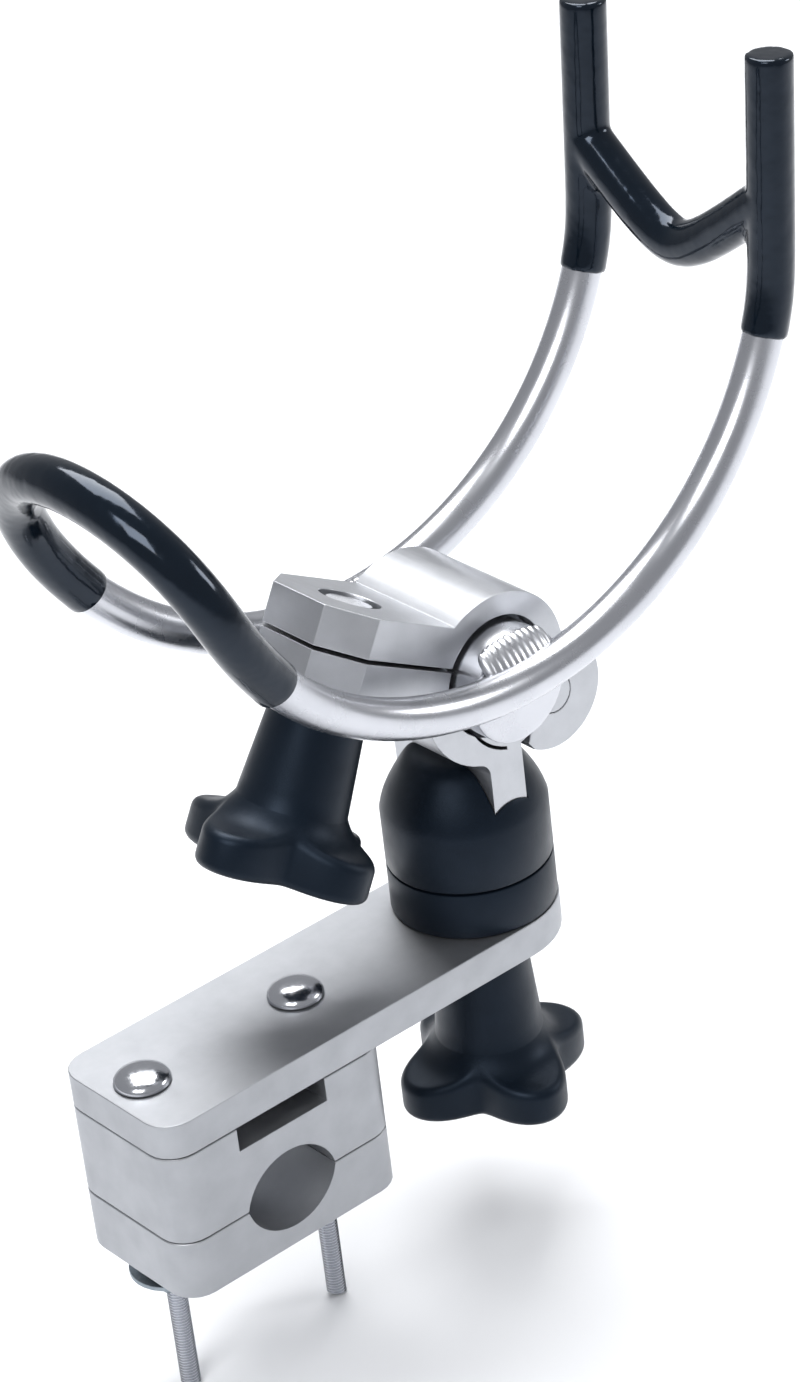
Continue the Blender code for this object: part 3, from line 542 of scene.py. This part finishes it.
def railWashersAndNuts():
    hole, thread, mouth = nut["washerHole"], nut["thread"], nut["mouth"]
    for side, place in boltPlaces.items():
        low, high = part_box(f"rail_washer_{side}")
        top, bottom = high.z / mm, low.z / mm
        outer = (high.x - low.x) / 2 / mm
        # the punched upper rim is rounder than the lower one
        profile = [(hole, top), (outer - 0.35, top), (outer - 0.1, top - 0.1), (outer, top - 0.4),
                   (outer, bottom + 0.15), (outer - 0.15, bottom), (hole, bottom)]
        washer = turnedPiece(f"railWasher_{side}", profile, place, ring=True)
        finish(washer, [f"rail_washer_{side}"], "zinc")
        hexagon = chamferedHexagon(f"railNut_{side}", nut["flats"], nut["height"], True)
        bore = [(0, 1), (mouth, 1), (thread, -0.5), (thread, 0.5 - nut["height"]),
                (mouth, -1 - nut["height"]), (0, -1 - nut["height"])]
        combine(hexagon, turnedPiece("bore", bore, None, 48), "DIFFERENCE")
        bakePlace(hexagon, place @ Matrix.Translation((0, 0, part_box(f"rail_nut_{side}")[1].z)))
        softenEdges(hexagon, nut["edge"], 1)
        finish(hexagon, [f"rail_nut_{side}"], "zinc")
    print("rail washers and nuts made")


railBolts()
railWashersAndNuts()


# swivel

swivel = {
    "radius": 24.75, "x": 97.0, "edge": 0.6, "stemHalfX": 6.45, "stemHalfY": 21.8, "pocketFloor": 6.5,
    "studHole": 6.2, "washerPocket": 20.3, "side": 17.5, "top": 13.0, "flat": 11.8, "drill": 5.3,
    "sides": 128,
}


def roundedWall(bottom, top):
    # the outside of the ring, from its top edge down, with both edges rounded
    radius, edge = swivel["radius"], swivel["edge"]
    upper = [(radius - edge, top), (radius - 0.3 * edge, top - 0.25 * edge), (radius, top - edge)]
    return upper + roundedFoot(bottom)


def roundedFoot(bottom):
    radius, edge = swivel["radius"], swivel["edge"]
    return [(radius, bottom + edge), (radius - 0.3 * edge, bottom + 0.25 * edge), (radius - edge, bottom)]


def swivelHousing():
    at = Matrix.Translation((swivel["x"] * mm, 0, 0))
    hole, washer = swivel["studHole"], swivel["washerPocket"]
    low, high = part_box("swivel_base_ring")
    bottom, top = low.z / mm, high.z / mm
    profile = [(hole, top - 1), (washer, top - 1), (washer, top), *roundedWall(bottom, top), (hole, bottom)]
    ring = turnedPiece("swivelBaseRing", profile, at, swivel["sides"], ring=True)
    finish(ring, ["swivel_base_ring"], "moulded")

    low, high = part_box("swivel_cap")
    bottom, top = low.z / mm, high.z / mm
    shoulder = bottom + swivel["side"]
    rise = top - shoulder
    drop = swivel["radius"] - swivel["top"]
    # shares of the way in and of the way up: nearly straight, then rounding over at the top
    shares = [(0.0, 0.0), (0.05, 0.12), (0.11, 0.23), (0.18, 0.33), (0.25, 0.42), (0.33, 0.51),
              (0.4, 0.585), (0.47, 0.66), (0.55, 0.735), (0.62, 0.8), (0.72, 0.875), (0.85, 0.945),
              (1.0, 0.985)]
    dome = [(swivel["radius"] - drop * inward, shoulder + rise * upward) for inward, upward in shares]
    profile = [(0, top), (swivel["flat"], top), *reversed(dome), *roundedFoot(bottom),
               (washer, bottom), (washer, bottom + 1), (0, bottom + 1)]
    cap = turnedPiece("swivelCap", profile, at, swivel["sides"])
    floor = bottom + swivel["pocketFloor"]
    bpy.ops.mesh.primitive_cube_add(
        size=1, location=(swivel["x"] * mm, 0, (floor + top + 5) / 2 * mm),
        scale=(2 * swivel["stemHalfX"] * mm, 2 * swivel["stemHalfY"] * mm, (top + 5 - floor) * mm))
    pocket = startPiece("pocket")
    bakePlace(pocket)
    combine(cap, pocket, "DIFFERENCE")
    drill = swivel["drill"]
    bore = [(0, floor + 1), (drill, floor + 1), (drill, bottom - 1), (0, bottom - 1)]
    combine(cap, turnedPiece("drill", bore, at, 48), "DIFFERENCE")
    softenEdges(cap, 0.25 * mm, 2, 40)
    finish(cap, ["swivel_cap"], "moulded")
    print("swivel made")


swivelHousing()


# tilt clamp

def tiltClamp():
    for node, name in (("upper_clamp_jaw", "upperClampJaw"), ("head_bracket", "headBracket")):
        jawPiece = machinedFrom(node, name, machined["jawEdge"], 3)
        finish(jawPiece, [node], "extruded", machined["smooth"], True)
    print("tilt clamp made")


tiltClamp()

jaw = {"angle": 151.2, "thickness": 12.4, "pivotHeight": 122.2, "screwReach": 43.4}
jawAngle = math.radians(jaw["angle"])
jawOut = Vector((math.cos(jawAngle), 0, math.sin(jawAngle)))
jawUp = Vector((math.sin(jawAngle), 0, -math.cos(jawAngle)))
pivot = Vector((swivel["x"], 0, jaw["pivotHeight"])) * mm
screwTurn = Matrix((jawOut, jawUp.cross(jawOut), jawUp)).transposed().to_4x4()
screwPlace = Matrix.Translation(pivot + jawOut * jaw["screwReach"] * mm) @ screwTurn

# heights are along the screw from the line between the jaws
screw = {"flats": 13.0, "height": 5.3, "top": 11.6, "shank": 3.98, "thread": 3.97, "low": -48.4}


def clampScrew():
    made = chamferedHexagon("clampScrew", screw["flats"], screw["height"], False)
    bakePlace(made, Matrix.Translation((0, 0, screw["top"] * mm)))
    inHead = screw["top"] - screw["height"] + 1
    under = -jaw["thickness"]
    plain = [(0, inHead), (screw["shank"], inHead), (screw["shank"], under - 0.6), (0, under - 0.6)]
    combine(made, turnedPiece("shank", plain, None, 48), "UNION")
    thread = threadedRod("thread", screw["thread"], screw["low"] + 0.5, under, threads["clamp"], None)
    combine(made, thread, "UNION")
    bakePlace(made, screwPlace)
    finish(made, ["clamp_screw"], "stainless")


clampScrew()


# knobs

knob = {
    "height": 53.0, "tip": 31.2, "valley": 20.3, "blunt": 0.85, "neckTop": 13.5, "neckRoot": 16.3,
    "flange": 11.5, "slope": 2.6, "rise": 8.0, "edge": 2.6, "dish": 11.5, "sides": 192,
    "insertHole": 8.3, "insertDepth": 24.3, "screwHole": 6.5, "screwDepth": 38.0,
    "swivelTurn": -8, "clampTurn": 11, "belowJaw": 2.2,
}


def knobOutline(turn):
    # four blunt lobes
    wave = (1 + math.cos(8 * math.pi * turn)) / 2
    return knob["valley"] + (knob["tip"] - knob["valley"]) * wave ** knob["blunt"]


def knobTop(radius):
    # the flange's top slopes up to the neck and sweeps into it
    share = (knob["tip"] - radius) / (knob["tip"] - knob["neckRoot"])
    sweep = (knob["rise"] - knob["slope"]) * share ** 5
    return -knob["height"] + knob["flange"] + knob["slope"] * share + sweep


def knobRings(turn):
    # radius and height from the middle of the bottom, up the outside and down into the bore
    outline = knobOutline(turn)
    bottom, edge, dish = -knob["height"], knob["edge"], knob["dish"]
    rings = [(0.0, bottom + 1.2), (9.0, bottom + 1.2), (10.2, bottom + 0.4), (dish, bottom)]
    start = outline - edge
    rings += [(start * part + dish * (1 - part), bottom) for part in (0.5, 0.85, 1.0)]
    for i in range(1, 7):
        angle = math.pi / 2 * i / 6
        rings.append((start + edge * math.sin(angle), bottom + edge - edge * math.cos(angle)))
    rings.append((outline, (bottom + knobTop(outline)) / 2))
    for i in range(7):
        angle = math.pi / 2 * i / 6
        inner = outline - edge * (1 - math.cos(angle))
        rings.append((inner, knobTop(inner) - edge * (1 - math.sin(angle))))
    for i in range(1, 15):
        radius = start + (knob["neckRoot"] - start) * (1 - (1 - i / 14) ** 1.7)
        rings.append((radius, knobTop(radius)))
    root = knobTop(knob["neckRoot"])
    for part in (0.15, 0.35, 0.6, 0.8, 0.95):
        rings.append((knob["neckRoot"] + (knob["neckTop"] - knob["neckRoot"]) * part, root * (1 - part)))
    insert, hole = knob["insertHole"], knob["screwHole"]
    rings += [(knob["neckTop"] - 0.25, -0.25), (knob["neckTop"] - 0.9, 0), (insert, 0),
              (insert, -knob["insertDepth"]), (hole, -knob["insertDepth"]), (hole, -knob["screwDepth"])]
    return rings


def lobedKnob(node, name, place):
    last = len(knobRings(0)) - 1

    def placeAt(turn, share):
        radius, height = knobRings(turn)[round(share * last)]
        angle = 2 * math.pi * turn
        return (radius * mm * math.cos(angle), radius * mm * math.sin(angle), height * mm)

    made = bentGrid(name, knob["sides"], last, placeAt)
    bakePlace(made, place)
    finish(made, [node], "moulded", 40)


def knobs():
    under = Matrix.Translation((swivel["x"] * mm, 0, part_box("swivel_knob")[1].z))
    lobedKnob("swivel_knob", "swivelKnob", under @ Matrix.Rotation(math.radians(knob["swivelTurn"]), 4, "Z"))
    underJaw = screwPlace @ Matrix.Translation((0, 0, (-jaw["thickness"] - knob["belowJaw"]) * mm))
    lobedKnob("clamp_knob", "clampKnob", underJaw @ Matrix.Rotation(math.radians(knob["clampTurn"]), 4, "Z"))
    print("knobs made")


knobs()


# cradle

cradle = {
    "rod": 6.0, "coat": 6.9, "spacing": 75.0, "loopWidth": 84.0, "loopDepth": 37.2, "loopAngle": 111.5,
    "arc": 110.5, "centre": (91.5, 238.1), "front": -15.5, "back": -154.6, "spreadStart": -112.0,
    "prongTop": 276.8, "lean": 4.1, "coatFront": -22.5, "coatBack": -140.5,
    "crossbar": 212.8, "slope": 0.8, "rounding": 8.0, "skin": 0.9, "wall": 0.8 * mm, "barGap": 0.3,
    "easing": 24, "webDrop": 15.0, "webInset": 1.5 * mm, "web": 4.6 * mm,
}


def onArc(degrees):
    angle = math.radians(degrees)
    x, z = cradle["centre"]
    return x + cradle["arc"] * math.cos(angle), z + cradle["arc"] * math.sin(angle)


def prongPoint(height):
    x, z = onArc(cradle["front"])
    return x + math.tan(math.radians(cradle["lean"])) * (height - z), height


def armHalf(degrees):
    share = (cradle["spreadStart"] - degrees) / (cradle["spreadStart"] - cradle["back"])
    share = min(1, max(0, share))
    eased = share * share * (3 - 2 * share)
    return (cradle["spacing"] + (cradle["loopWidth"] - cradle["spacing"]) * eased) / 2


def armPath(side, start, end, steps):
    path = []
    for i in range(steps + 1):
        degrees = start + (end - start) * i / steps
        x, z = onArc(degrees)
        path.append(Vector((x, side * armHalf(degrees), z)) * mm)
    return path


def prongPath(side, heights):
    return [Vector((prongPoint(h)[0], side * cradle["spacing"] / 2, h)) * mm for h in heights]


def loopPath():
    x, z = onArc(cradle["back"])
    angle = math.radians(cradle["loopAngle"])
    path = []
    for i in range(1, 48):
        sweep = math.pi * i / 48
        reach = cradle["loopDepth"] * math.sin(sweep)
        path.append(Vector((x + reach * math.cos(angle), -cradle["loopWidth"] / 2 * math.cos(sweep),
                            z + reach * math.sin(angle))) * mm)
    return path


def evenly(top, bottom, steps):
    return [top + (bottom - top) * i / steps for i in range(steps + 1)]


def straightProng(side, top):
    # stops just above the arc, so that easing the path rounds the corner between them
    foot = onArc(cradle["front"])[1]
    return prongPath(side, evenly(top, foot + 2, 26))


def wholeArm(side, top):
    return straightProng(side, top) + armPath(side, cradle["front"], cradle["back"], 120)


def softened(path, rounds):
    # eases the corners where straight lengths meet arcs
    for _ in range(rounds):
        path = [path[0]] + [(a + b * 2 + c) / 4 for a, b, c in zip(path, path[1:], path[2:])] + [path[-1]]
    return path


def cradleRod():
    top = cradle["prongTop"] - 1
    path = wholeArm(-1, top) + loopPath() + list(reversed(wholeArm(1, top)))
    rod = roundRod("cradleRod", softened(path, cradle["easing"]), cradle["rod"] * mm)
    finish(rod, ["cradle_rod"], "rod", 50)


def crossbarPath(steps=48):
    path = []
    for i in range(steps + 1):
        y = cradle["spacing"] / 2 * (2 * i / steps - 1)
        rise = math.hypot(cradle["rounding"], cradle["slope"] * y) - cradle["rounding"]
        height = cradle["crossbar"] + rise
        path.append(Vector((prongPoint(height)[0], y, height)) * mm)
    return path


def loopSleeve():
    ends = (cradle["coatBack"], cradle["back"], 12)
    path = armPath(-1, *ends) + loopPath() + list(reversed(armPath(1, *ends)))
    sleeve = roundRod("loopSleeve", softened(path, cradle["easing"]), cradle["coat"] * mm, 40, False)
    wall = sleeve.modifiers.new("wall", "SOLIDIFY")
    wall.thickness = cradle["wall"]
    wall.offset = -1
    applyModifiers(sleeve)
    softenEdges(sleeve, 0.3 * mm, 3, 50)
    finish(sleeve, ["loop_sleeve"], "vinyl", 50)


def forkCoat():
    pieces = []
    cross = crossbarPath()
    for side in (-1, 1):
        path = straightProng(side, cradle["prongTop"] + cradle["skin"])
        path += armPath(side, cradle["front"], cradle["coatFront"], 8)
        pieces.append(roundRod("prong", softened(path, cradle["easing"]), cradle["coat"] * mm))
        # dip coat gathers in the corner under the crossbar
        corner = prongPath(side, [cross[0].z / mm - cradle["webDrop"]])[0]
        corner.y -= side * cradle["webInset"]
        reach = cross[7 if side < 0 else -8]
        middle = corner * 0.5 + reach * 0.5 + up * cradle["webInset"]
        pieces.append(roundRod("web", [corner, middle, reach], cradle["web"]))
    pieces.append(roundRod("cross", cross, cradle["coat"] * mm))
    coat = joined(pieces, "forkCoat")
    melt(coat, 0.7 * mm, 14)
    finish(coat, ["fork_coat", "fork_crossbar"], "vinyl", 80)


barHalf = cradle["spacing"] / 2 - cradle["rod"] - cradle["barGap"]
bar = {"seat": 18.0, "seatHalf": 17.0, "end": 16.9}


def pivotBar():
    seat, end = bar["seat"], bar["end"]
    shoulder = bar["seatHalf"] + seat - end
    upper = [(0, barHalf), (end - 1.5, barHalf), (end - 0.6, barHalf - 0.2), (end - 0.15, barHalf - 0.6),
             (end, barHalf - 1.2), (end, shoulder), (seat, bar["seatHalf"])]
    profile = upper + [(radius, -height) for radius, height in reversed(upper)]
    across = Matrix.Translation(pivot) @ Matrix.Rotation(math.pi / 2, 4, "X")
    finish(turnedPiece("pivotBar", profile, across, 128), ["pivot_bar"], "rod")


weld = {
    "beads": 11, "pitch": 2.05, "half": (2.5, 6.4, 2.5), "slope": 46, "out": 1.9, "lift": 6.8,
    "back": 2.0, "taper": 0.3, "voxel": 0.35 * mm,
}


def welds():
    # each puddle is a flattened ellipsoid lying across the corner between the end of the bar and the rod
    lowest = cradle["centre"][1] - cradle["arc"]
    for side, sideName in ((-1, "near"), (1, "far")):
        for lift, edgeName in ((1, "top"), (-1, "bottom")):
            beads = []
            for i in range(weld["beads"]):
                step = i - (weld["beads"] - 1) / 2
                size = 1 - weld["taper"] * abs(step / (weld["beads"] / 2)) ** 3
                along = swivel["x"] - weld["back"] + weld["pitch"] * step
                place = Vector((along, side * (barHalf + weld["out"]), lowest + lift * weld["lift"])) * mm
                bpy.ops.mesh.primitive_uv_sphere_add(
                    segments=24, ring_count=16, radius=mm, location=place,
                    rotation=(math.radians(-side * lift * weld["slope"]), 0, 0),
                    scale=[half * size for half in weld["half"]])
                beads.append(bpy.context.object)
            bead = joined(beads, f"{sideName}_{edgeName}_bead")
            bakePlace(bead)
            melt(bead, weld["voxel"], 2)
            finish(bead, [f"{sideName}_{edgeName}_weld"], "bead", 80)
    print("welds made")


cradleRod()
loopSleeve()
forkCoat()
pivotBar()
welds()
print("cradle made")


# pieces that keep their CAD shape

hiddenFinishes = {
    "base_dowel_near": "zinc", "base_dowel_far": "zinc", "friction_washer": "nylon", "pivot_stud": "zinc",
    "stud_pin": "zinc", "swivel_washer": "zinc", "swivel_knob_insert": "brass", "clamp_washer": "zinc",
    "clamp_knob_insert": "brass",
}
for node, finishName in hiddenFinishes.items():
    data = frame["nodes"][node].data
    data.materials.clear()
    data.materials.append(finishes[finishName])
print("hidden pieces finished")


# stage, light and camera

view = {
    "place": (-0.566424, -0.835689, 0.717885),
    "right": (0.75005307, -0.65321612, -0.10358133),
    "up": (0.39404108, 0.31557474, 0.86321736),
    "back": (-0.53117985, -0.68827413, 0.49409179),
    "lens": 192.79,
    "film": 36,
}
camera = bpy.data.cameras.new("camera")
camera.sensor_fit = "HORIZONTAL"
camera.sensor_width = view["film"]
camera.lens = view["lens"]
cameraObject = bpy.data.objects.new("camera", camera)
bpy.context.scene.collection.objects.link(cameraObject)
turn = Matrix((view["right"], view["up"], view["back"])).transposed().to_4x4()
cameraObject.matrix_world = Matrix.Translation(view["place"]) @ turn
bpy.context.scene.camera = cameraObject

lowest = cadBox[0][2]
bpy.ops.mesh.primitive_plane_add(size=6, location=(0, 0, lowest - 0.5 * mm))
floor = startPiece("floor")
floor.data.materials.append(newMaterial("paleFloor", "#F4F5F7", 0.0, 0.75)[0])

world = bpy.data.worlds.new("studio")
bpy.context.scene.world = world
world.use_nodes = True
world.node_tree.nodes["Background"].inputs["Color"].default_value = hexColour("#F1F3F8")
world.node_tree.nodes["Background"].inputs["Strength"].default_value = 0.42
bpy.context.scene.view_settings.view_transform = "Standard"

lamps = {
    "key": {"place": (-0.9, -0.5, 1.2), "size": 0.7, "power": 13},
    "top": {"place": (0.45, 0.5, 1.5), "size": 1.1, "power": 30},
    "right": {"place": (1.2, -0.7, 0.7), "size": 0.4, "power": 4},
}
aim = Vector((0.06, 0, 0.12))
for name, lamp in lamps.items():
    light = bpy.data.lights.new(name, "AREA")
    light.size = lamp["size"]
    light.energy = lamp["power"]
    lightObject = bpy.data.objects.new(name, light)
    bpy.context.scene.collection.objects.link(lightObject)
    lightObject.location = lamp["place"]
    lightObject.rotation_euler = (aim - Vector(lamp["place"])).to_track_quat("-Z", "Y").to_euler()
print("stage, light and camera made")
